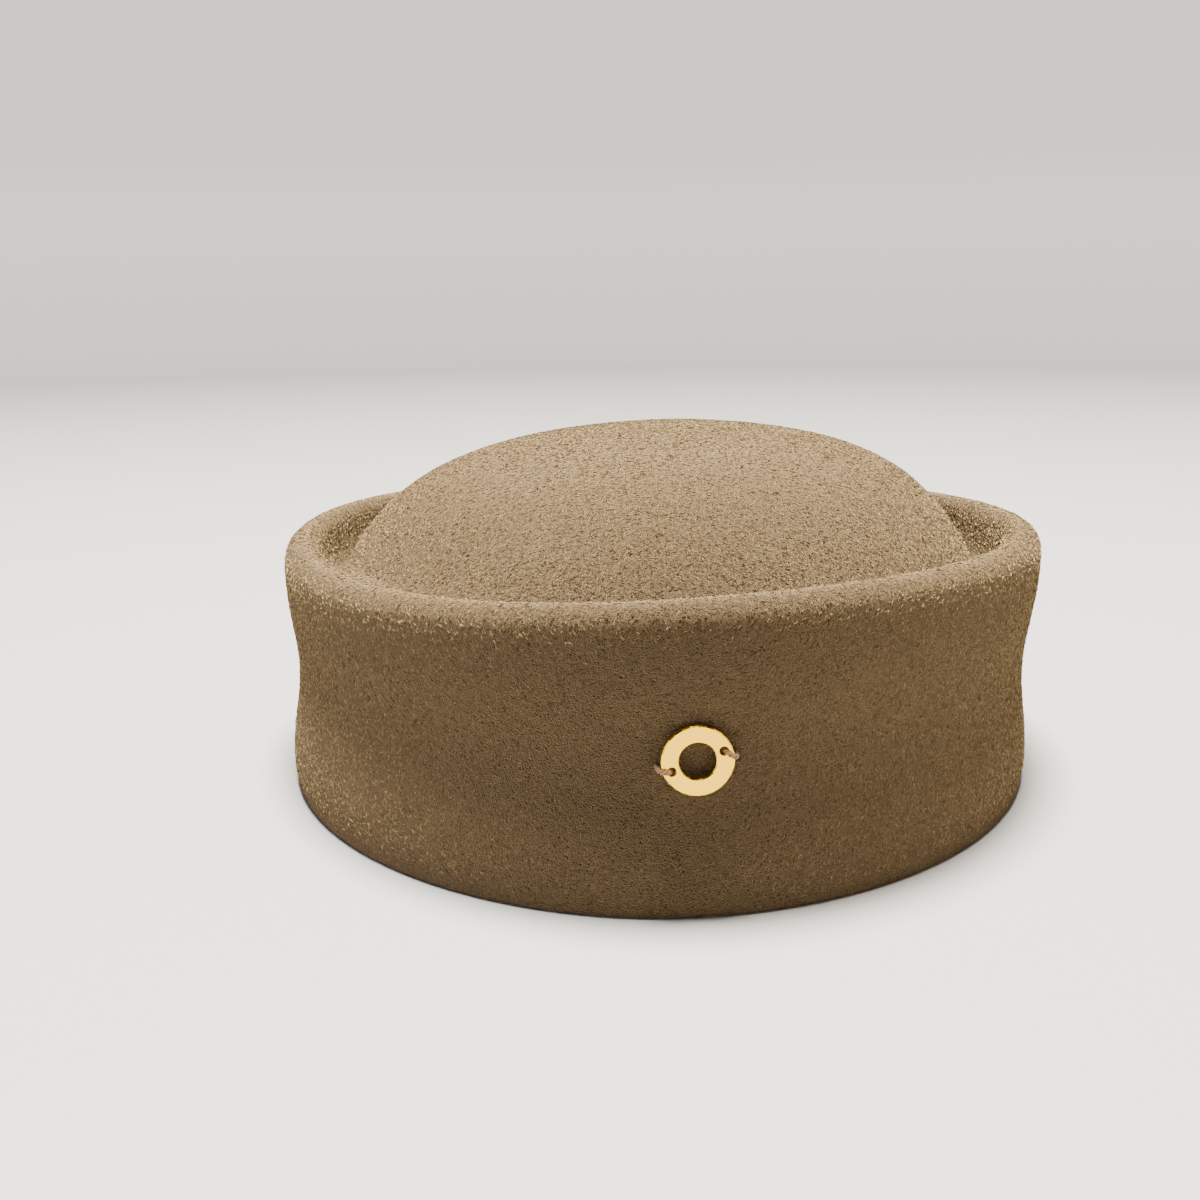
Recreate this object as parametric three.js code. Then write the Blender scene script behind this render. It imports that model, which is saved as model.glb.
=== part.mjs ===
// A domed pillbox hat, blocked from one piece of wool felt: a smooth oval dome,
// a narrow groove round its foot, a thick rolled rim and a slightly waisted wall
// that stands on its hem. A flat metal ring is sewn on the front of the wall.
// Millimetres, +Z up, +X to the wearer's left, -Y the front. The hem stands on z = 0.

import * as THREE from "three";
import { mergeVertices } from "three/addons/utils/BufferGeometryUtils.js";

const { smoothstep, lerp, clamp, degToRad } = THREE.MathUtils;

// Felt body
const hemWidth = 176;
const hemLength = 204;
const ovalPower = 1.92;
const crownHeight = 79.2;
const rimHeight = 56.1;
const feltThickness = 2.5;

// Rolled rim: the clear width inside the roll, how tightly its inner side turns down
// into the groove, and how far it stands out past the hem
const rollHollow = 4.1;
const rollInnerRadius = 3.6;
const rimReach = 1.6;

// Groove between the rim and the foot of the dome
const grooveWidth = 6.2;
const grooveDepth = 14;
const footLift = 6.8;

// Wall below the rim
const waistDepth = 1.6;
const hemBulge = 0.8;

// Hand blocking: the top of the dome leans to the right and back, the rim sways up
// and down and in and out, and at the front left the groove is a shallow valley with
// the dome's foot drawn in beside it
const crownLean = 5.4;
const crownSetBack = 3.3;
const rimSway = 3;
const rimFlare = 1.6;
const valleyDepth = 4.4;
const valleyInset = 4.6;
const valleyBearing = -144;
const valleyHalfSpan = 31;

// Metal ring on the wall
const charmHole = 6.7;
const charmBand = 3.2;
const charmThickness = 1.4;
const charmEdge = 0.2;
const charmOffset = 7.5;
const charmHeight = 30.9;
const charmGap = 0.3;
const sewingHole = 1.4;
const sewingTurn = 21;

// How finely the faceted surfaces are cut
const bearings = 60;
const rowSpacing = 6;
const charmCurveSegments = 14;

// Sizes that follow from the driving ones
const rollRadius = rollHollow / 2 + feltThickness;
const rollReach = hemWidth / 2 + rimReach - rollRadius;
const rollHeight = rimHeight - rollRadius;
const rollInside = rollReach - rollInnerRadius;
const footReach = rollInside - grooveWidth;
const grooveFloor = rimHeight - grooveDepth;
const footHeight = grooveFloor + footLift;
const lengthMargin = (hemLength - hemWidth) / 2;
const charmRadius = charmHole / 2 + charmBand;

// Dome from its top to its foot: shares of the foot's reach and of the dome's rise
const domeFolds = [
  { reach: 0, rise: 1 },
  { reach: 0.27, rise: 0.958 },
  { reach: 0.58, rise: 0.823 },
  { reach: 0.786, rise: 0.597 },
  { reach: 0.917, rise: 0.306 },
  { reach: 1, rise: 0 },
];

// Groove from the dome's foot to the roll: shares of the groove's width
const grooveFolds = [
  { across: 0.14, up: 0.32 },
  { across: 0.5, up: 0 },
  { across: 0.86, up: 0.32 },
];

// Roll from its inner side over the top to its outer side, in degrees round its middle
const rollAngles = [180, 150, 120, 90, 60, 30, 0];

// Wall from the roll to the hem: the height is a share of the roll's height, and
// the other columns are shares of the rim's reach, the waist and the hem's bulge
const wallFolds = [
  { height: 0.84, rim: 0.95, waist: 0.15, bulge: 0 },
  { height: 0.7, rim: 0.65, waist: 0.68, bulge: 0 },
  { height: 0.59, rim: 0.4, waist: 1, bulge: 0 },
  { height: 0.415, rim: 0.15, waist: 0.8, bulge: 0 },
  { height: 0.24, rim: 0.05, waist: 0.2, bulge: 0.6 },
  { height: 0.1, rim: 0, waist: 0, bulge: 1 },
  { height: 0, rim: 0, waist: 0, bulge: 0 },
];

// The rim's waves round the hat: how often each one repeats in a turn, its shares of
// the sway and the flare, and the bearing in degrees at which each of them is highest
const rimWaves = [
  { repeats: 1, sway: 0.98, swayAt: -65, flare: 0, flareAt: 0 },
  { repeats: 2, sway: 0.43, swayAt: -35, flare: 1, flareAt: -43 },
  { repeats: 3, sway: 0.28, swayAt: 36, flare: 0.55, flareAt: 29 },
];

const feltMaterial = new THREE.MeshStandardMaterial({ color: 0xa88c68, roughness: 1, metalness: 0 });
const goldMaterial = new THREE.MeshStandardMaterial({ color: 0xe6cc8f, roughness: 0.25, metalness: 1 });

// The section across the hat's width, from the top of the dome to the hem:
// x is the half width of the hat there and y is the height
function sectionRows() {
  const dome = domeFolds.map(({ reach, rise }) => [
    reach * footReach,
    footHeight + rise * (crownHeight - footHeight),
  ]);
  const groove = grooveFolds.map(({ across, up }) => [
    footReach + across * grooveWidth,
    grooveFloor + up * grooveWidth,
  ]);
  const roll = rollAngles.map((angle) => {
    const radius = angle > 90 ? rollInnerRadius : rollRadius;
    const reach = rollReach + radius * Math.cos(degToRad(angle));
    return [reach, rimHeight - radius + radius * Math.sin(degToRad(angle))];
  });
  const wall = wallFolds.map(({ height, rim, waist, bulge }) => [
    hemWidth / 2 + rim * rimReach - waist * waistDepth + bulge * hemBulge,
    height * rollHeight,
  ]);
  return [...dome, ...groove, ...roll, ...wall].map(([reach, height]) => new THREE.Vector3(reach, height, 0));
}

// A smooth curve through those rows, cut into steps of about the row spacing
function sectionPoints() {
  const rows = sectionRows();
  const curve = new THREE.CatmullRomCurve3(rows, false, "centripetal");
  const last = rows.length - 1;
  const points = [];
  for (let row = 0; row < last; row += 1) {
    const steps = Math.max(1, Math.round(rows[row].distanceTo(rows[row + 1]) / rowSpacing));
    for (let step = 0; step < steps; step += 1) {
      const place = curve.getPoint((row + step / steps) / last);
      points.push(new THREE.Vector2(Math.max(place.x, 0), place.y));
    }
  }
  points.push(new THREE.Vector2(rows[last].x, rows[last].y));
  return points;
}

// The sum of the rim's waves at a bearing, for the sway or the flare
function rimWave(bearing, column) {
  return rimWaves.reduce((sum, row) => {
    const peak = degToRad(row[`${column}At`]);
    return sum + row[column] * Math.cos(row.repeats * (bearing - peak));
  }, 0);
}

// One half axis of the oval plan turned into a coordinate
function ovalShare(value) {
  return Math.sign(value) * Math.abs(value) ** (2 / ovalPower);
}

// The higher of two heights, with a rounded corner where they cross
function roundedMax(a, b, rounding) {
  return (a + b + Math.hypot(a - b, rounding)) / 2;
}

// How fully the shallow valley is there at a bearing: 1 at its middle, 0 away from it
function valleyShare(bearing) {
  const turn = bearing - degToRad(valleyBearing);
  const away = Math.abs(Math.atan2(Math.sin(turn), Math.cos(turn)));
  return Math.exp(-((away / degToRad(valleyHalfSpan)) ** 4));
}

// Moves a point of the plain turned section to its place on the blocked hat
function blockedPoint(reach, bearing, height) {
  const onRoll = smoothstep(reach, footReach, rollInside);
  const nearRim = onRoll * smoothstep(height, 0, rollHeight);
  const length = reach < footReach ? reach * (1 + lengthMargin / footReach) : reach + lengthMargin;
  const valley = valleyShare(bearing) * smoothstep(reach, 0.7 * footReach, footReach);
  const inset = valleyInset * valley * (1 - onRoll);
  const flare = rimFlare * nearRim * rimWave(bearing, "flare");
  const rise = clamp((height - footHeight) / (crownHeight - footHeight), 0, 1) * (1 - onRoll);
  const x = (reach + flare - inset) * ovalShare(Math.cos(bearing)) + crownLean * rise ** 2;
  const y = (length + flare - inset) * ovalShare(Math.sin(bearing)) + crownSetBack * rise;
  const sway = rimSway * rimWave(bearing, "sway");
  const swayed = height + sway * nearRim;
  const raised = roundedMax(swayed, rimHeight + sway - valleyDepth, grooveWidth / 2);
  const inGroove = valley * (1 - smoothstep(reach, rollInside, rollReach));
  return new THREE.Vector3(x, y, lerp(swayed, raised, inGroove));
}

// Drops triangles that have lost a corner, such as those round the top of the dome
function wholeTriangles(index) {
  const kept = [];
  for (let i = 0; i < index.length; i += 3) {
    const [a, b, c] = index.slice(i, i + 3);
    if (a !== b && b !== c && c !== a) kept.push(a, b, c);
  }
  return kept;
}

// The edges that only one triangle has, as pairs of corners in that triangle's order
function openEdges(index) {
  const edges = new Map();
  for (let i = 0; i < index.length; i += 3) {
    for (let side = 0; side < 3; side += 1) {
      const from = index[i + side];
      const to = index[i + ((side + 1) % 3)];
      if (!edges.delete(`${to},${from}`)) edges.set(`${from},${to}`, [from, to]);
    }
  }
  return [...edges.values()];
}

// The outer surface: the section turned round the axis, then blocked to shape. The
// section runs upwards here, from the hem, so that the faces point out
function outerSurface() {
  const lathe = new THREE.LatheGeometry(sectionPoints().reverse(), bearings);
  const position = lathe.getAttribute("position");
  for (let i = 0; i < position.count; i += 1) {
    const reach = Math.hypot(position.getX(i), position.getZ(i));
    const bearing = Math.atan2(-position.getZ(i), position.getX(i));
    const place = blockedPoint(reach, bearing, position.getY(i));
    position.setXYZ(i, place.x, place.y, place.z);
  }
  lathe.deleteAttribute("normal");
  lathe.deleteAttribute("uv");
  const merged = mergeVertices(lathe, 1e-3);
  merged.setIndex(wholeTriangles(Array.from(merged.index.array)));
  merged.computeVertexNormals();
  return merged;
}

// Gives the outer surface its felt thickness, and closes the hem with a flat ring
function feltShell() {
  const outer = outerSurface();
  const position = outer.getAttribute("position");
  const normal = outer.getAttribute("normal");
  const count = position.count;
  const corners = Array.from(position.array);
  const hemCorners = new Set(openEdges(outer.index.array).flat());
  for (let i = 0; i < count; i += 1) {
    const inward = new THREE.Vector3().fromBufferAttribute(normal, i);
    if (hemCorners.has(i)) inward.setZ(0).normalize();
    const inner = new THREE.Vector3().fromBufferAttribute(position, i).addScaledVector(inward, -feltThickness);
    corners.push(inner.x, inner.y, inner.z);
  }
  const triangles = Array.from(outer.index.array);
  for (let i = 0; i < outer.index.count; i += 3) {
    const [a, b, c] = outer.index.array.slice(i, i + 3);
    triangles.push(c + count, b + count, a + count);
  }
  for (const [from, to] of openEdges(outer.index.array)) {
    triangles.push(to, from, from + count, to, from + count, to + count);
  }
  const shell = new THREE.BufferGeometry();
  shell.setAttribute("position", new THREE.Float32BufferAttribute(corners, 3));
  shell.setIndex(triangles);
  shell.computeVertexNormals();
  return shell;
}

// The ring: a flat washer with two small sewing holes in its band, its back on z = 0
function charmRing() {
  const sewingRadius = (charmHole + charmBand) / 2;
  const outline = new THREE.Shape().absarc(0, 0, charmRadius, 0, 2 * Math.PI);
  outline.holes.push(new THREE.Path().absarc(0, 0, charmHole / 2, 0, 2 * Math.PI, true));
  for (const turn of [sewingTurn, sewingTurn + 180]) {
    const x = sewingRadius * Math.cos(degToRad(turn));
    const y = sewingRadius * Math.sin(degToRad(turn));
    outline.holes.push(new THREE.Path().absarc(x, y, sewingHole / 2, 0, 2 * Math.PI, true));
  }
  const ring = new THREE.ExtrudeGeometry(outline, {
    depth: charmThickness - 2 * charmEdge,
    bevelThickness: charmEdge,
    bevelSize: charmEdge,
    bevelOffset: -charmEdge,
    bevelSegments: 1,
    curveSegments: charmCurveSegments,
  });
  return ring.translate(0, 0, charmEdge);
}

const feltBody = new THREE.Mesh(feltShell(), feltMaterial);
feltBody.name = "felt_body";

// The first point of the felt that a level line meets from a place towards the hat
function feltAhead(place, heading) {
  return new THREE.Raycaster(place, heading).intersectObject(feltBody)[0].point;
}

// The ring hangs plumb, square to the wall behind it, just clear of the felt
const ahead = new THREE.Vector3(0, 1, 0);
const wallLeft = feltAhead(new THREE.Vector3(charmOffset - charmRadius, -hemLength, charmHeight), ahead);
const wallRight = feltAhead(new THREE.Vector3(charmOffset + charmRadius, -hemLength, charmHeight), ahead);
const charmTurn = Math.atan2(wallRight.y - wallLeft.y, wallRight.x - wallLeft.x);
const across = new THREE.Vector3(Math.cos(charmTurn), Math.sin(charmTurn), 0);
const heading = new THREE.Vector3(-Math.sin(charmTurn), Math.cos(charmTurn), 0);
const wallMiddle = wallLeft.clone().lerp(wallRight, 0.5);
const standOff = wallMiddle.addScaledVector(heading, -hemLength);

// The least clear distance from the stand-off plane to the felt, over the ring's back
let clearDistance = Infinity;
for (let step = 0; step < bearings; step += 1) {
  const angle = (2 * Math.PI * step) / bearings;
  for (const radius of [charmHole / 2, charmRadius]) {
    const probe = standOff.clone().addScaledVector(across, radius * Math.cos(angle));
    probe.z += radius * Math.sin(angle);
    clearDistance = Math.min(clearDistance, feltAhead(probe, heading).distanceTo(probe));
  }
}

const charm = new THREE.Mesh(charmRing(), goldMaterial);
charm.name = "charm_ring";
charm.rotation.x = Math.PI / 2;

const charmPlace = new THREE.Group();
charmPlace.add(charm);
charmPlace.rotation.z = charmTurn;
charmPlace.position.copy(standOff).addScaledVector(heading, clearDistance - charmGap);

// The whole hat, with the middle of its outline over the origin
const hat = new THREE.Group();
hat.add(feltBody, charmPlace);
const middle = new THREE.Box3().setFromObject(hat).getCenter(new THREE.Vector3());
hat.position.set(-middle.x, -middle.y, 0);

export default hat;
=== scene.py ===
# %% [markdown]
# # A felt pillbox hat with a sewn metal ring
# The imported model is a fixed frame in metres: the hat stands on z = 0 and -Y is its front.
# Every piece below is made where it belongs in that frame, so nothing is placed afterwards.

# %% Load the frame
import math

import bmesh
import bpy
from mathutils import Matrix, Vector
from mathutils.bvhtree import BVHTree


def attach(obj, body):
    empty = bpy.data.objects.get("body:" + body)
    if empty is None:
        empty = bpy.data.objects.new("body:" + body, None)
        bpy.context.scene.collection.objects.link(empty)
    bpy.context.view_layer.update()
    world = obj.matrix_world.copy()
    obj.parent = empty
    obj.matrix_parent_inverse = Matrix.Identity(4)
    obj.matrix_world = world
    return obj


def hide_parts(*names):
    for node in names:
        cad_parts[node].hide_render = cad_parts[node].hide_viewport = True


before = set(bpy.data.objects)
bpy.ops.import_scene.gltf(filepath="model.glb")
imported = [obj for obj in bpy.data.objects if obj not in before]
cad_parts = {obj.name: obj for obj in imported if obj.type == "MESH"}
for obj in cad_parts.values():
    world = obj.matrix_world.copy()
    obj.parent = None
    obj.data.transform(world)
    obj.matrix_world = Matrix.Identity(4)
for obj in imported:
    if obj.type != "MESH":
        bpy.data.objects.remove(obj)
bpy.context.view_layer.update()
scene = bpy.context.scene
MM = 0.001

# %% [markdown]
# ## The camera
# A camera is a place, a direction and a lens. These values were worked out from how the oval
# hem and rim look in the photograph: an ellipse's flatness gives the height of the eye, and
# how fast it tapers gives the distance. The camera stands close, so its lens is short.

# %% Camera
PHOTO_SIDE_PX = 1200
FOCAL_PX = 1400
SENSOR_MM = 36
CAMERA_PLACE_MM = (1.4, -336.3, 113.8)
CAMERA_HEADING = math.radians(-2.55)
CAMERA_PITCH = math.radians(12.95)
CAMERA_ROLL = math.radians(-0.8)
NEAREST_SEEN = 0.01


def add_object(name, data):
    """Puts new data in the scene as an object at the origin."""
    thing = bpy.data.objects.new(name, data)
    scene.collection.objects.link(thing)
    return thing


camera = add_object("camera", bpy.data.cameras.new("camera"))
camera.data.sensor_width = SENSOR_MM
camera.data.lens = SENSOR_MM * FOCAL_PX / PHOTO_SIDE_PX
camera.data.clip_start = NEAREST_SEEN
turned = (
    Matrix.Rotation(-CAMERA_HEADING, 4, "Z")
    @ Matrix.Rotation(math.pi / 2 - CAMERA_PITCH, 4, "X")
    @ Matrix.Rotation(CAMERA_ROLL, 4, "Z")
)
camera.matrix_world = Matrix.Translation(Vector(CAMERA_PLACE_MM) * MM) @ turned
scene.camera = camera
print("lens in mm", camera.data.lens)

# %% [markdown]
# ## Small helpers for nodes
# Colours are written as the sRGB hex values that a picture shows, and Blender's nodes want
# linear light, so one function turns them. Another adds one node, to a material or to a
# geometry node group alike, with its settings and its links.


# %% Colour and node helpers
def linear(hex_colour):
    """Turns an sRGB hex colour into linear red, green, blue and alpha."""
    channels = [int(hex_colour[i : i + 2], 16) / 255 for i in (1, 3, 5)]
    return (*(c / 12.92 if c <= 0.04045 else ((c + 0.055) / 1.055) ** 2.4 for c in channels), 1)


def new_material(name):
    """An empty node material."""
    material = bpy.data.materials.new(name)
    material.use_nodes = True
    material.node_tree.nodes.clear()
    return material


def add_node(tree, kind, inputs=None, **settings):
    """Adds a node: inputs are values or the outputs to link, settings are its properties."""
    node = tree.nodes.new(kind)
    for name, value in settings.items():
        setattr(node, name, value)
    for key, value in (inputs or {}).items():
        if isinstance(value, bpy.types.NodeSocket):
            tree.links.new(value, node.inputs[key])
        else:
            node.inputs[key].default_value = value
    return node


print("pale camel in linear light", [round(c, 3) for c in linear("#A18C66")])

# %% [markdown]
# ## Wool felt
# Hat felt is wool fibre matted with steam and pressure. It has no weave: the eye sees a mass of
# short curled fibres, pale where one lies on top and dark in the gaps between them, where shade
# falls. A noise that is cut close to its middle value gives just such curling lines, and the gaps
# between them are painted near black: painted shade. Single wool fibres are far too fine to show,
# so each line stands for a clump of them. The loose tips catch light at grazing angles, so the felt
# looks pale where it turns away from the eye and deep brown where the eye meets it head on. The
# sheen socket is made for that.

# %% Curled fibre lines
LINE_DISTORTION = 0.8


def fibre_lines(tree, place, size_mm, width, shift):
    """Curling lines about size_mm apart: 1 on a line, 0 between the lines."""
    moved = add_node(tree, "ShaderNodeVectorMath", {0: place, 1: shift}, operation="ADD")
    pattern = add_node(
        tree, "ShaderNodeTexNoise",
        {
            "Vector": moved.outputs[0], "Scale": 1 / (size_mm * MM), "Detail": 1.0,
            "Distortion": LINE_DISTORTION,
        },
    )
    centred = add_node(tree, "ShaderNodeMath", {0: pattern.outputs[0], 1: 0.5}, operation="SUBTRACT")
    away = add_node(tree, "ShaderNodeMath", {0: centred.outputs[0]}, operation="ABSOLUTE")
    line = add_node(
        tree, "ShaderNodeMapRange",
        {"Value": away.outputs[0], "From Max": width, "To Min": 1, "To Max": 0},
        interpolation_type="SMOOTHSTEP",
    )
    return line.outputs[0]


# %% Wool felt material
FIBRE_MM, FIBRE_LINE = 0.9, 0.08
FINE_FIBRE_MM, FINE_FIBRE_LINE = 0.5, 0.1
FINE_SHARE = 0.75
# Each set of lines is read from another place in the noise, this far away in metres.
CROSSING_SHIFT = (0.31, 0.17, 0.23)
FINE_SHIFT = (0.11, 0.53, 0.37)
FIBRE_COVER = 0.85
GRAIN_MM = 0.35
MOTTLE_MM = 11.0
FELT_RELIEF_MM = 0.4


def wool_felt():
    """Camel hat felt: curled fibres over gaps painted near black as shade."""
    felt = new_material("camel wool felt")
    tree = felt.node_tree
    place = add_node(tree, "ShaderNodeTexCoord").outputs["Object"]
    coarse = fibre_lines(tree, place, FIBRE_MM, FIBRE_LINE, (0, 0, 0))
    crossing = fibre_lines(tree, place, FIBRE_MM, FIBRE_LINE, CROSSING_SHIFT)
    fine = fibre_lines(tree, place, FINE_FIBRE_MM, FINE_FIBRE_LINE, FINE_SHIFT)
    upper = add_node(tree, "ShaderNodeMath", {0: coarse, 1: crossing}, operation="MAXIMUM")
    faint = add_node(tree, "ShaderNodeMath", {0: fine, 1: FINE_SHARE}, operation="MULTIPLY")
    fibres = add_node(tree, "ShaderNodeMath", {0: upper.outputs[0], 1: faint.outputs[0]}, operation="MAXIMUM")
    grain = add_node(
        tree, "ShaderNodeTexNoise",
        {"Vector": place, "Scale": 1 / (GRAIN_MM * MM), "Detail": 2.0, "Roughness": 0.7},
    )
    mottle = add_node(
        tree, "ShaderNodeTexNoise", {"Vector": place, "Scale": 1 / (MOTTLE_MM * MM), "Detail": 2.0},
    )
    # The gaps between the fibre lines are painted near black: painted shade between the fibres, its tone varied
    # at random by a fine grain.
    gap_shade = add_node(tree, "ShaderNodeValToRGB", {"Fac": grain.outputs[0]})
    deep, shallow = gap_shade.color_ramp.elements
    deep.position, deep.color = 0.38, linear("#0F0B07")
    shallow.position, shallow.color = 0.62, linear("#382B1B")
    fibre_colour = add_node(
        tree, "ShaderNodeMix", {0: mottle.outputs[0], 6: linear("#493D2E"), 7: linear("#554734")},
        data_type="RGBA",
    )
    covered = add_node(tree, "ShaderNodeMath", {0: fibres.outputs[0], 1: FIBRE_COVER}, operation="MULTIPLY")
    matted = add_node(
        tree, "ShaderNodeMix", {0: covered.outputs[0], 6: gap_shade.outputs[0], 7: fibre_colour.outputs[2]},
        data_type="RGBA",
    )
    height = add_node(tree, "ShaderNodeMath", {0: fibres.outputs[0], 1: grain.outputs[0]}, operation="ADD")
    relief = add_node(
        tree, "ShaderNodeBump", {"Strength": 1.0, "Distance": FELT_RELIEF_MM * MM, "Height": height.outputs[0]},
    )
    surface = add_node(
        tree, "ShaderNodeBsdfPrincipled",
        {
            "Base Color": matted.outputs[2], "Roughness": 1.0, "Specular IOR Level": 0.0, "Sheen Weight": 0.36,
            "Sheen Roughness": 0.5, "Sheen Tint": linear("#FFDBA8"), "Normal": relief.outputs[0],
        },
    )
    add_node(tree, "ShaderNodeOutputMaterial", {"Surface": surface.outputs[0]})
    return felt


felt_material = wool_felt()
print(felt_material.name, "nodes", len(felt_material.node_tree.nodes))

# %% [markdown]
# ## The felt body
# On the real hat the dome, groove, rolled rim and wall are one blocked piece of felt, so here
# they are one mesh. The solid in the frame already has the true shape, in facets. A copy of it
# has its loose corners merged, its triangles joined into quads, and a subdivision surface
# rounds the facets off. The corners of the cut hem are creased so that they stay firm.

# %% Copies of the felt solid
SMOOTHING_LEVELS = 2
SAME_PLACE_MM = 0.01
QUAD_ANGLE = math.radians(60)


def finish_piece(piece, body="root"):
    """Smooth shading, and a place on the body that carries the piece."""
    for face in piece.data.polygons:
        face.use_smooth = True
    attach(piece, body)
    print(piece.name, "faces", len(piece.data.polygons))


def merged_felt():
    """A bmesh of the felt solid, its loose corners merged and its triangles joined to quads."""
    shape = bmesh.new()
    shape.from_mesh(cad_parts["felt_body"].data)
    bmesh.ops.remove_doubles(shape, verts=shape.verts, dist=SAME_PLACE_MM * MM)
    bmesh.ops.join_triangles(
        shape, faces=shape.faces, angle_face_threshold=QUAD_ANGLE, angle_shape_threshold=QUAD_ANGLE,
    )
    return shape


def rounded_object(name, shape):
    """An object of that bmesh, its facets rounded off by a subdivision surface."""
    mesh = bpy.data.meshes.new(name)
    shape.to_mesh(mesh)
    shape.free()
    piece = add_object(name, mesh)
    rounding = piece.modifiers.new("rounding", "SUBSURF")
    rounding.levels = SMOOTHING_LEVELS
    rounding.render_levels = SMOOTHING_LEVELS
    return piece


# %% Felt body
HEM_CREASE = 0.6
HEM_TOP_MM = 0.05
SQUARE_ON = 0.9

felt_shape = merged_felt()
crease = felt_shape.edges.layers.float.new("crease_edge")
for edge in felt_shape.edges:
    on_hem = all(corner.co.z < HEM_TOP_MM * MM for corner in edge.verts)
    below = [face.normal.z < -SQUARE_ON for face in edge.link_faces]
    if on_hem and any(below) and not all(below):
        edge[crease] = HEM_CREASE
print("firm hem edges", sum(edge[crease] > 0 for edge in felt_shape.edges))
hat_felt = rounded_object("hat_felt", felt_shape)
hat_felt.data.materials.append(felt_material)
finish_piece(hat_felt)
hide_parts("felt_body")

# %% [markdown]
# ## The nap
# Thousands of loose fibre ends lie on real felt and blur its outline a little. A bump alone
# gives neither that soft outline nor the tiny shadows under the fibres, so one small curled
# ribbon is made and Geometry Nodes lays copies of it over the outside of the hat, each turned
# and sized by chance from a fixed seed. These too are drawn as coarse as the clumps that the
# eye sees. The faces of each region carry a mark that tells the nodes where its fibres go. There
# are several regions, so that no single mesh grows too heavy.

# %% Outside of the felt
SKIN_CLEAR_MM = 0.2
FOOT_REACH_MM = 76
FOOT_LENGTH_RATIO = 1.16
WALL_TOP_MM = 46


def outside_faces(shape):
    """The faces of the felt that can be seen from above or from beside the hat."""
    tree = BVHTree.FromBMesh(shape)
    outside = set()
    for face in shape.faces:
        centre = face.calc_center_median()
        start = centre + face.normal * SKIN_CLEAR_MM * MM
        sideways = Vector((centre.x, centre.y, 0)).normalized()
        from_above = tree.ray_cast(start, Vector((0, 0, 1)))[0] is None
        from_beside = tree.ray_cast(start, sideways)[0] is None and face.normal.dot(sideways) > 0
        if from_above or from_beside:
            outside.add(face)
    return outside


def region_of(centre):
    """Which part of the hat a place on its outside belongs to."""
    half = "front" if centre.y < 0 else "back"
    if math.hypot(centre.x, centre.y / FOOT_LENGTH_RATIO) < FOOT_REACH_MM * MM:
        return f"crown_{half}"
    return f"wall_{half}" if centre.z < WALL_TOP_MM * MM else "rim"


plain_felt = merged_felt()
print("faces", len(plain_felt.faces), "of them outside", len(outside_faces(plain_felt)))
plain_felt.free()

# %% Wool of the loose fibres
TONE_MM = 0.9


def loose_fibre_wool():
    """The loose ends of the wool: paler than the mat below them."""
    wool = new_material("loose camel wool")
    tree = wool.node_tree
    place = add_node(tree, "ShaderNodeTexCoord").outputs["Object"]
    chance = add_node(tree, "ShaderNodeTexNoise", {"Vector": place, "Scale": 1 / (TONE_MM * MM), "Detail": 0.0})
    tone = add_node(tree, "ShaderNodeValToRGB", {"Fac": chance.outputs[0]})
    dark, pale = tone.color_ramp.elements
    dark.position, dark.color = 0.4, linear("#5C4D35")
    pale.position, pale.color = 0.62, linear("#A18C66")
    surface = add_node(
        tree, "ShaderNodeBsdfPrincipled",
        {
            "Base Color": tone.outputs[0], "Roughness": 0.9, "Specular IOR Level": 0.1, "Sheen Weight": 0.8,
            "Sheen Roughness": 0.5, "Sheen Tint": linear("#FFDBA8"),
        },
    )
    add_node(tree, "ShaderNodeOutputMaterial", {"Surface": surface.outputs[0]})
    return wool


loose_wool = loose_fibre_wool()
print(loose_wool.name, "nodes", len(loose_wool.node_tree.nodes))

# %% One curled fibre
FIBRE_CURL_MM = 0.45
FIBRE_SWEEP = math.radians(115)
FIBRE_WIDTH_MM = 0.11
FIBRE_POINTS = 4
FIBRE_LIFT_MM = 0.05


def curled_fibre(tree):
    """A flat ribbon bent along an arc, its middle over the origin."""
    curl = add_node(
        tree, "GeometryNodeCurveArc",
        {"Resolution": FIBRE_POINTS, "Radius": FIBRE_CURL_MM * MM, "Sweep Angle": FIBRE_SWEEP}, mode="RADIUS",
    )
    half_width = FIBRE_WIDTH_MM * MM / 2
    edge = add_node(
        tree, "GeometryNodeCurvePrimitiveLine", {"Start": (0, -half_width, 0), "End": (0, half_width, 0)},
        mode="POINTS",
    )
    ribbon = add_node(
        tree, "GeometryNodeCurveToMesh", {"Curve": curl.outputs[0], "Profile Curve": edge.outputs[0]},
    )
    middle = add_node(
        tree, "GeometryNodeTransform",
        {"Geometry": ribbon.outputs[0], "Translation": (-FIBRE_CURL_MM * MM, 0, FIBRE_LIFT_MM * MM)},
    )
    return middle.outputs[0]


# %% Copies of the fibre over a surface
FIBRE_TILT = math.radians(9)
FIBRE_LEAST, FIBRE_MOST = 0.6, 1.3
NAP_MARK = "nap"
NAP_HEM_MM = 0.8
NAP_SEED = 7


def fibre_places(tree, surface, per_mm2):
    """Points strewn over the marked faces, but none on the hem that the hat stands on."""
    marked = add_node(tree, "GeometryNodeInputNamedAttribute", {"Name": NAP_MARK}, data_type="INT")
    points = add_node(
        tree, "GeometryNodeDistributePointsOnFaces",
        {"Mesh": surface, "Selection": marked.outputs[0], "Density": per_mm2 / MM**2, "Seed": NAP_SEED},
        distribute_method="RANDOM",
    )
    place = add_node(tree, "ShaderNodeSeparateXYZ", {0: add_node(tree, "GeometryNodeInputPosition").outputs[0]})
    low = add_node(tree, "ShaderNodeMath", {0: place.outputs["Z"], 1: NAP_HEM_MM * MM}, operation="LESS_THAN")
    kept = add_node(
        tree, "GeometryNodeDeleteGeometry", {"Geometry": points.outputs[0], "Selection": low.outputs[0]},
        domain="POINT",
    )
    return kept.outputs[0], points.outputs["Rotation"]


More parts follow.
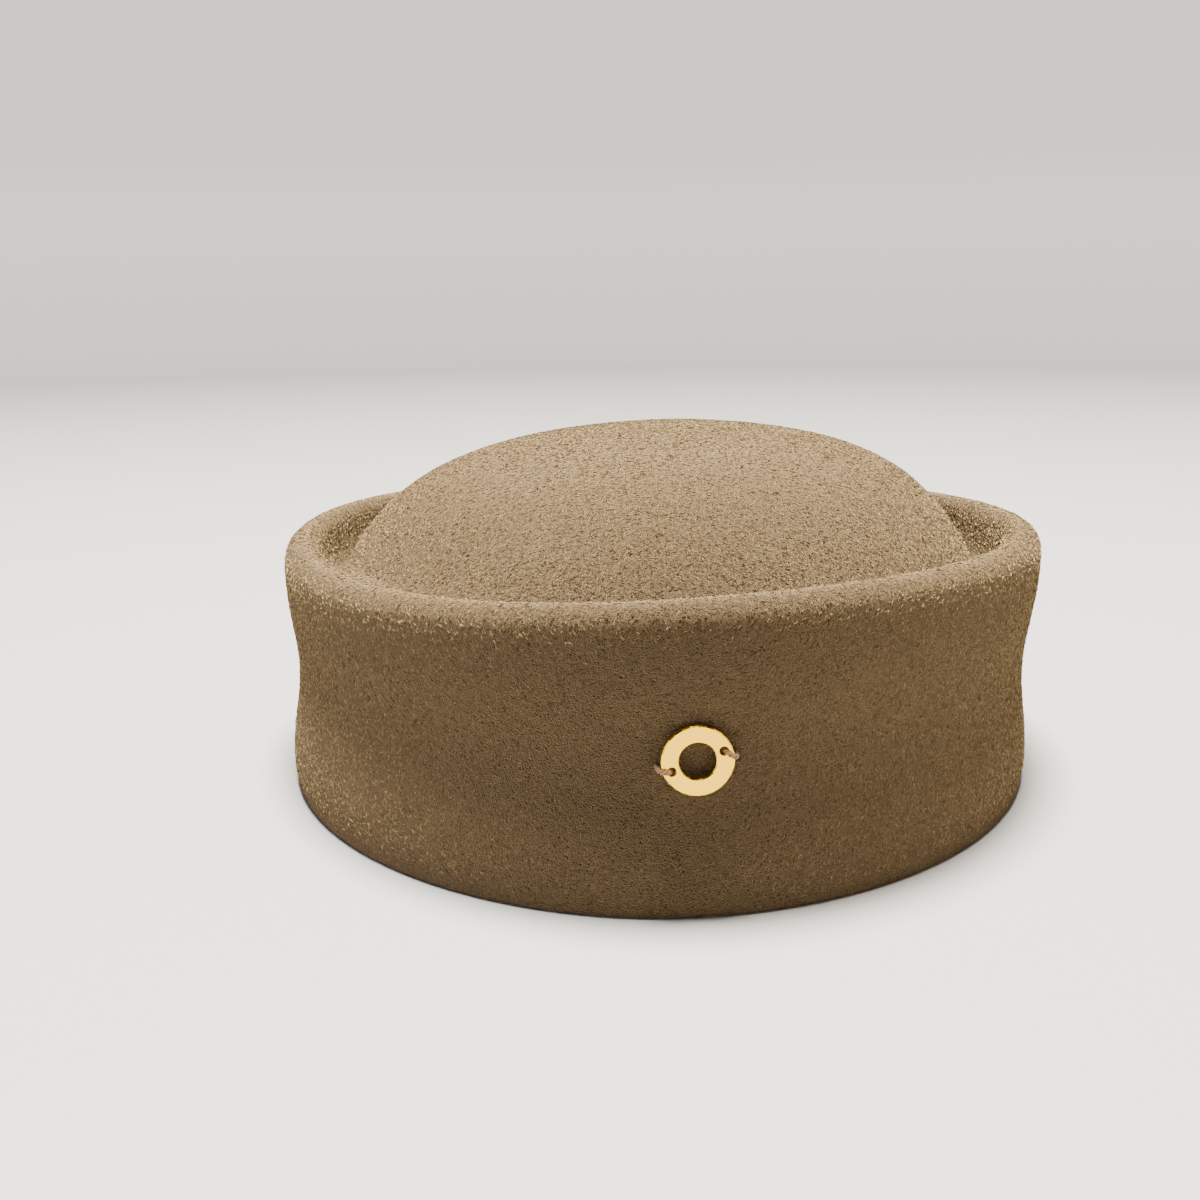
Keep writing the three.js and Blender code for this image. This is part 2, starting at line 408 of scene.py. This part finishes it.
def fibre_turn(tree, facing):
    """A turn by chance within the surface, and a small tilt out of it."""
    chance = add_node(
        tree, "FunctionNodeRandomValue",
        {0: (-FIBRE_TILT, -FIBRE_TILT, 0), 1: (FIBRE_TILT, FIBRE_TILT, math.tau), "Seed": NAP_SEED + 1},
        data_type="FLOAT_VECTOR",
    )
    turn = add_node(tree, "FunctionNodeEulerToRotation", {0: chance.outputs[0]})
    placed = add_node(
        tree, "FunctionNodeRotateRotation", {0: facing, 1: turn.outputs[0]}, rotation_space="LOCAL",
    )
    return placed.outputs[0]


def nap_group(name, per_mm2):
    """A node group that turns a surface into the fibres that lie on it."""
    group = bpy.data.node_groups.new(name, "GeometryNodeTree")
    for way in ("INPUT", "OUTPUT"):
        group.interface.new_socket("Geometry", in_out=way, socket_type="NodeSocketGeometry")
    places, facing = fibre_places(group, add_node(group, "NodeGroupInput").outputs[0], per_mm2)
    size = add_node(
        group, "FunctionNodeRandomValue", {2: FIBRE_LEAST, 3: FIBRE_MOST, "Seed": NAP_SEED + 2},
        data_type="FLOAT",
    )
    copies = add_node(
        group, "GeometryNodeInstanceOnPoints",
        {
            "Points": places, "Instance": curled_fibre(group), "Rotation": fibre_turn(group, facing),
            "Scale": size.outputs[1],
        },
    )
    realised = add_node(group, "GeometryNodeRealizeInstances", {0: copies.outputs[0]})
    coloured = add_node(
        group, "GeometryNodeSetMaterial", {"Geometry": realised.outputs[0], "Material": loose_wool},
    )
    add_node(group, "NodeGroupOutput", {0: coloured.outputs[0]})
    return group


# %% Nap over the wall, the rim and the crown
nap_density = (
    # region of the hat, fibres per square millimetre
    ("wall_front", 2.3),
    ("wall_back", 1.5),
    ("rim", 2.0),
    ("crown_front", 2.4),
    ("crown_back", 1.6),
)


def felt_nap(region, per_mm2):
    """Adds the fibres on one region of the hat's outside."""
    shape = merged_felt()
    mark = shape.faces.layers.int.new(NAP_MARK)
    for face in outside_faces(shape):
        face[mark] = region_of(face.calc_center_median()) == region
    piece = rounded_object(f"{region}_nap", shape)
    nap = piece.modifiers.new("nap", "NODES")
    nap.node_group = nap_group(f"{region} nap", per_mm2)
    piece.data.materials.append(loose_wool)
    finish_piece(piece)
    ready = piece.evaluated_get(bpy.context.evaluated_depsgraph_get())
    print(piece.name, "triangles", sum(len(face.vertices) - 2 for face in ready.data.polygons))


for region, per_mm2 in nap_density:
    felt_nap(region, per_mm2)

# %% [markdown]
# ## The metal ring
# The ring is a flat stamped washer with a thin pale gold plating. Its solid is already right,
# so it stays and only gets its finish: a metal with fine polishing scratches, whose roughness
# wavers a little.

# %% Pale gold plating
# Real polishing scratches are too fine to show, so they are drawn coarser.
SCRATCH_MM = 0.5
SCRATCH_STRETCH = (1, 1, 0.15)
SCRATCH_DEPTH_MM = 0.02
LEAST_ROUGH, MOST_ROUGH = 0.12, 0.26


def gold_plate():
    """Pale gold plate on brass, polished flat."""
    gold = new_material("pale gold plate")
    tree = gold.node_tree
    place = add_node(tree, "ShaderNodeTexCoord").outputs["Object"]
    stretched = add_node(tree, "ShaderNodeMapping", {"Vector": place, "Scale": SCRATCH_STRETCH})
    scratches = add_node(
        tree, "ShaderNodeTexNoise",
        {"Vector": stretched.outputs[0], "Scale": 1 / (SCRATCH_MM * MM), "Detail": 3.0},
    )
    rough = add_node(
        tree, "ShaderNodeMapRange",
        {"Value": scratches.outputs[0], "To Min": LEAST_ROUGH, "To Max": MOST_ROUGH},
    )
    relief = add_node(
        tree, "ShaderNodeBump",
        {"Strength": 0.15, "Distance": SCRATCH_DEPTH_MM * MM, "Height": scratches.outputs[0]},
    )
    surface = add_node(
        tree, "ShaderNodeBsdfPrincipled",
        {
            "Base Color": linear("#FFCC30"), "Metallic": 1.0, "Roughness": rough.outputs[0],
            "Normal": relief.outputs[0],
        },
    )
    add_node(tree, "ShaderNodeOutputMaterial", {"Surface": surface.outputs[0]})
    return gold


charm_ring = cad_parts["charm_ring"]
charm_ring.data.materials.clear()
charm_ring.data.materials.append(gold_plate())
print(charm_ring.name, "faces", len(charm_ring.data.polygons))

# %% [markdown]
# ## The stitches
# Two stitches of brown two-ply thread hold the ring. Each comes out of the felt through a
# sewing hole, crosses the band and goes back into the felt beside it. Its path is an arch with
# upright ends, and each ply winds round that path. The places are measured from the ring's
# middle, seen from the front: x to the right, y up, and z out of the felt.

# %% Where the ring sits
UP = Vector((0, 0, 1))
ring_front = max((f for f in charm_ring.data.polygons if f.normal.y < -SQUARE_ON), key=lambda f: f.area)
ring_out = ring_front.normal.copy()
ring_right = UP.cross(ring_out)
ring_corners = [corner.co for corner in charm_ring.data.vertices]
ring_middle = sum(ring_corners, Vector()) / len(ring_corners)
print("ring middle in mm", [round(c / MM, 2) for c in ring_middle])

# %% Thread
# The fibres spun into the thread are too fine to show, so their fuzz is drawn coarser.
THREAD_FUZZ_MM = 0.12
THREAD_RELIEF_MM = 0.05


def sewing_thread():
    """Brown spun thread, dull with a faint shine on its plies."""
    thread = new_material("brown sewing thread")
    tree = thread.node_tree
    place = add_node(tree, "ShaderNodeTexCoord").outputs["Object"]
    fuzz = add_node(
        tree, "ShaderNodeTexNoise", {"Vector": place, "Scale": 1 / (THREAD_FUZZ_MM * MM), "Detail": 2.0},
    )
    tone = add_node(
        tree, "ShaderNodeMix", {0: fuzz.outputs[0], 6: linear("#54361F"), 7: linear("#8E6640")},
        data_type="RGBA",
    )
    relief = add_node(
        tree, "ShaderNodeBump",
        {"Strength": 0.5, "Distance": THREAD_RELIEF_MM * MM, "Height": fuzz.outputs[0]},
    )
    surface = add_node(
        tree, "ShaderNodeBsdfPrincipled",
        {
            "Base Color": tone.outputs[2], "Roughness": 0.75, "Sheen Weight": 0.4,
            "Sheen Tint": linear("#FFDBA8"), "Normal": relief.outputs[0],
        },
    )
    add_node(tree, "ShaderNodeOutputMaterial", {"Surface": surface.outputs[0]})
    return thread


thread_material = sewing_thread()
print(thread_material.name, "nodes", len(thread_material.node_tree.nodes))

# %% The path of one ply
PLY_RADIUS_MM = 0.24
PLY_TWIST_MM = 1.7
STITCH_POINTS = 72
STITCH_TOP_MM = 1.18
STITCH_DEEP_MM = -2.6
STITCH_SQUARENESS = 3.4


def arch_point(start, end, share):
    """A point on the arch, from deep in the sewing hole to deep in the felt beside it."""
    angle = math.pi * (1 - share)
    across = math.copysign(abs(math.cos(angle)) ** (2 / STITCH_SQUARENESS), math.cos(angle))
    rise = abs(math.sin(angle)) ** (2 / STITCH_SQUARENESS)
    flat = start.lerp(end, (across + 1) / 2)
    return Vector((flat.x, flat.y, STITCH_DEEP_MM + rise * (STITCH_TOP_MM - STITCH_DEEP_MM)))


def ply_points(start, end, phase):
    """The middle line of one ply: it winds round the arch at half the thread's thickness."""
    arch = [arch_point(start, end, step / STITCH_POINTS) for step in range(STITCH_POINTS + 1)]
    sideways = Vector((end.y - start.y, start.x - end.x, 0)).normalized()
    turn = phase
    points = []
    for before, here, after in zip([arch[0], *arch], arch, [*arch[1:], arch[-1]]):
        ahead = (after - before).normalized()
        turn += math.tau * (here - before).length / PLY_TWIST_MM
        outwards = sideways.cross(ahead).normalized()
        points.append(here + PLY_RADIUS_MM * (math.cos(turn) * sideways + math.sin(turn) * outwards))
    return points


# %% Two stitches
PLY_ROUNDNESS = 2
stitches = (
    # name, in the sewing hole (x, y) and beside the ring (x, y), in millimetres
    ("left_stitch", (-4.75, -1.77), (-7.0, -1.6)),
    ("right_stitch", (4.75, 1.72), (7.0, 0.55)),
)


def stitch(name, start, end):
    """Adds one stitch: both plies as a mesh."""
    curve = bpy.data.curves.new(name, "CURVE")
    curve.dimensions = "3D"
    curve.bevel_depth = PLY_RADIUS_MM * MM
    curve.bevel_resolution = PLY_ROUNDNESS
    for phase in (0, math.pi):
        points = ply_points(Vector(start), Vector(end), phase)
        line = curve.splines.new("POLY")
        line.points.add(len(points) - 1)
        for corner, (x, y, z) in zip(line.points, points):
            corner.co = (*(ring_middle + (x * ring_right + y * UP + z * ring_out) * MM), 1)
    lines = add_object(f"{name}_lines", curve)
    ready = lines.evaluated_get(bpy.context.evaluated_depsgraph_get())
    piece = add_object(name, bpy.data.meshes.new_from_object(ready))
    bpy.data.objects.remove(lines)
    piece.data.materials.append(thread_material)
    finish_piece(piece)


for name, start, end in stitches:
    stitch(name, start, end)

# %% [markdown]
# ## Floor and light
# The hat stands on a plain pale floor that sweeps up all round into a backdrop, so that every
# side has a quiet ground behind it: one side line is drawn and spun round the middle. A wide soft
# light hangs above, and two faint ones stand at the sides, cooler on the left and warmer on the
# right. Nothing lights the hat from the front, so its wall has little more than the light that
# the floor throws back.

# %% Floor paint
def floor_paint():
    """Matt pale paint."""
    paint = new_material("matt pale paint")
    tree = paint.node_tree
    surface = add_node(tree, "ShaderNodeBsdfPrincipled", {"Base Color": linear("#A3A19E"), "Roughness": 0.6})
    add_node(tree, "ShaderNodeOutputMaterial", {"Surface": surface.outputs[0]})
    return paint


pale_paint = floor_paint()
print(pale_paint.name, "nodes", len(pale_paint.node_tree.nodes))

# %% Floor
FLOOR_RADIUS = 1.5
SWEEP_RADIUS = 0.3
SWEEP_STEPS = 12
BACKDROP_HEIGHT = 0.6
ROUND_STEPS = 96


def floor_side_line():
    """The floor's side line: level from the middle, then a quarter turn, then upright."""
    shape = bmesh.new()
    turning = shape.verts.new((0, FLOOR_RADIUS, 0))
    shape.edges.new((shape.verts.new((0, 0, 0)), turning))
    bmesh.ops.spin(
        shape, geom=[turning], cent=(0, FLOOR_RADIUS, SWEEP_RADIUS), axis=(1, 0, 0), angle=math.pi / 2,
        steps=SWEEP_STEPS, use_merge=False, use_duplicate=False,
    )
    top = max(shape.verts, key=lambda corner: corner.co.z)
    raised = bmesh.ops.extrude_vert_indiv(shape, verts=[top])["verts"]
    bmesh.ops.translate(shape, verts=raised, vec=(0, 0, BACKDROP_HEIGHT))
    return shape


floor_shape = floor_side_line()
bmesh.ops.spin(
    floor_shape, geom=floor_shape.verts[:] + floor_shape.edges[:], cent=(0, 0, 0), axis=(0, 0, 1),
    angle=math.tau, steps=ROUND_STEPS, use_merge=True, use_duplicate=False,
)
bmesh.ops.remove_doubles(floor_shape, verts=floor_shape.verts, dist=SAME_PLACE_MM * MM)
bmesh.ops.recalc_face_normals(floor_shape, faces=floor_shape.faces)
for face in floor_shape.faces:
    face.smooth = True
floor_mesh = bpy.data.meshes.new("floor")
floor_shape.to_mesh(floor_mesh)
floor_shape.free()
floor = add_object("floor", floor_mesh)
floor.data.materials.append(pale_paint)
print("floor faces", len(floor_mesh.polygons), "top", max(corner.co.z for corner in floor_mesh.vertices))

# %% Light
SKY_STRENGTH = 0.01
lamps = (
    # name, place in metres, size in metres, watts, colour
    ("overhead", (-0.02, 0.0, 1.5), 0.5, 204, "#FFFBF3"),
    ("left_window", (-1.3, -0.3, 0.6), 0.8, 4.5, "#8FB0FF"),
    ("right_ceiling", (1.2, 0.1, 1.0), 0.8, 4, "#FFD6B0"),
)
for name, place, size, watts, colour in lamps:
    lamp = bpy.data.lights.new(name, "AREA")
    lamp.shape = "DISK"
    lamp.size = size
    lamp.energy = watts
    lamp.color = linear(colour)[:3]
    holder = add_object(name, lamp)
    holder.location = place
    holder.rotation_mode = "QUATERNION"
    holder.rotation_quaternion = Vector(place).to_track_quat("Z", "Y")
print("lamps", [row[0] for row in lamps])

# %% Faint light from all sides
world = bpy.data.worlds.new("studio")
world.use_nodes = True
sky = world.node_tree.nodes["Background"]
sky.inputs["Color"].default_value = linear("#F4F3F1")
sky.inputs["Strength"].default_value = SKY_STRENGTH
scene.world = world
print("sky", SKY_STRENGTH)
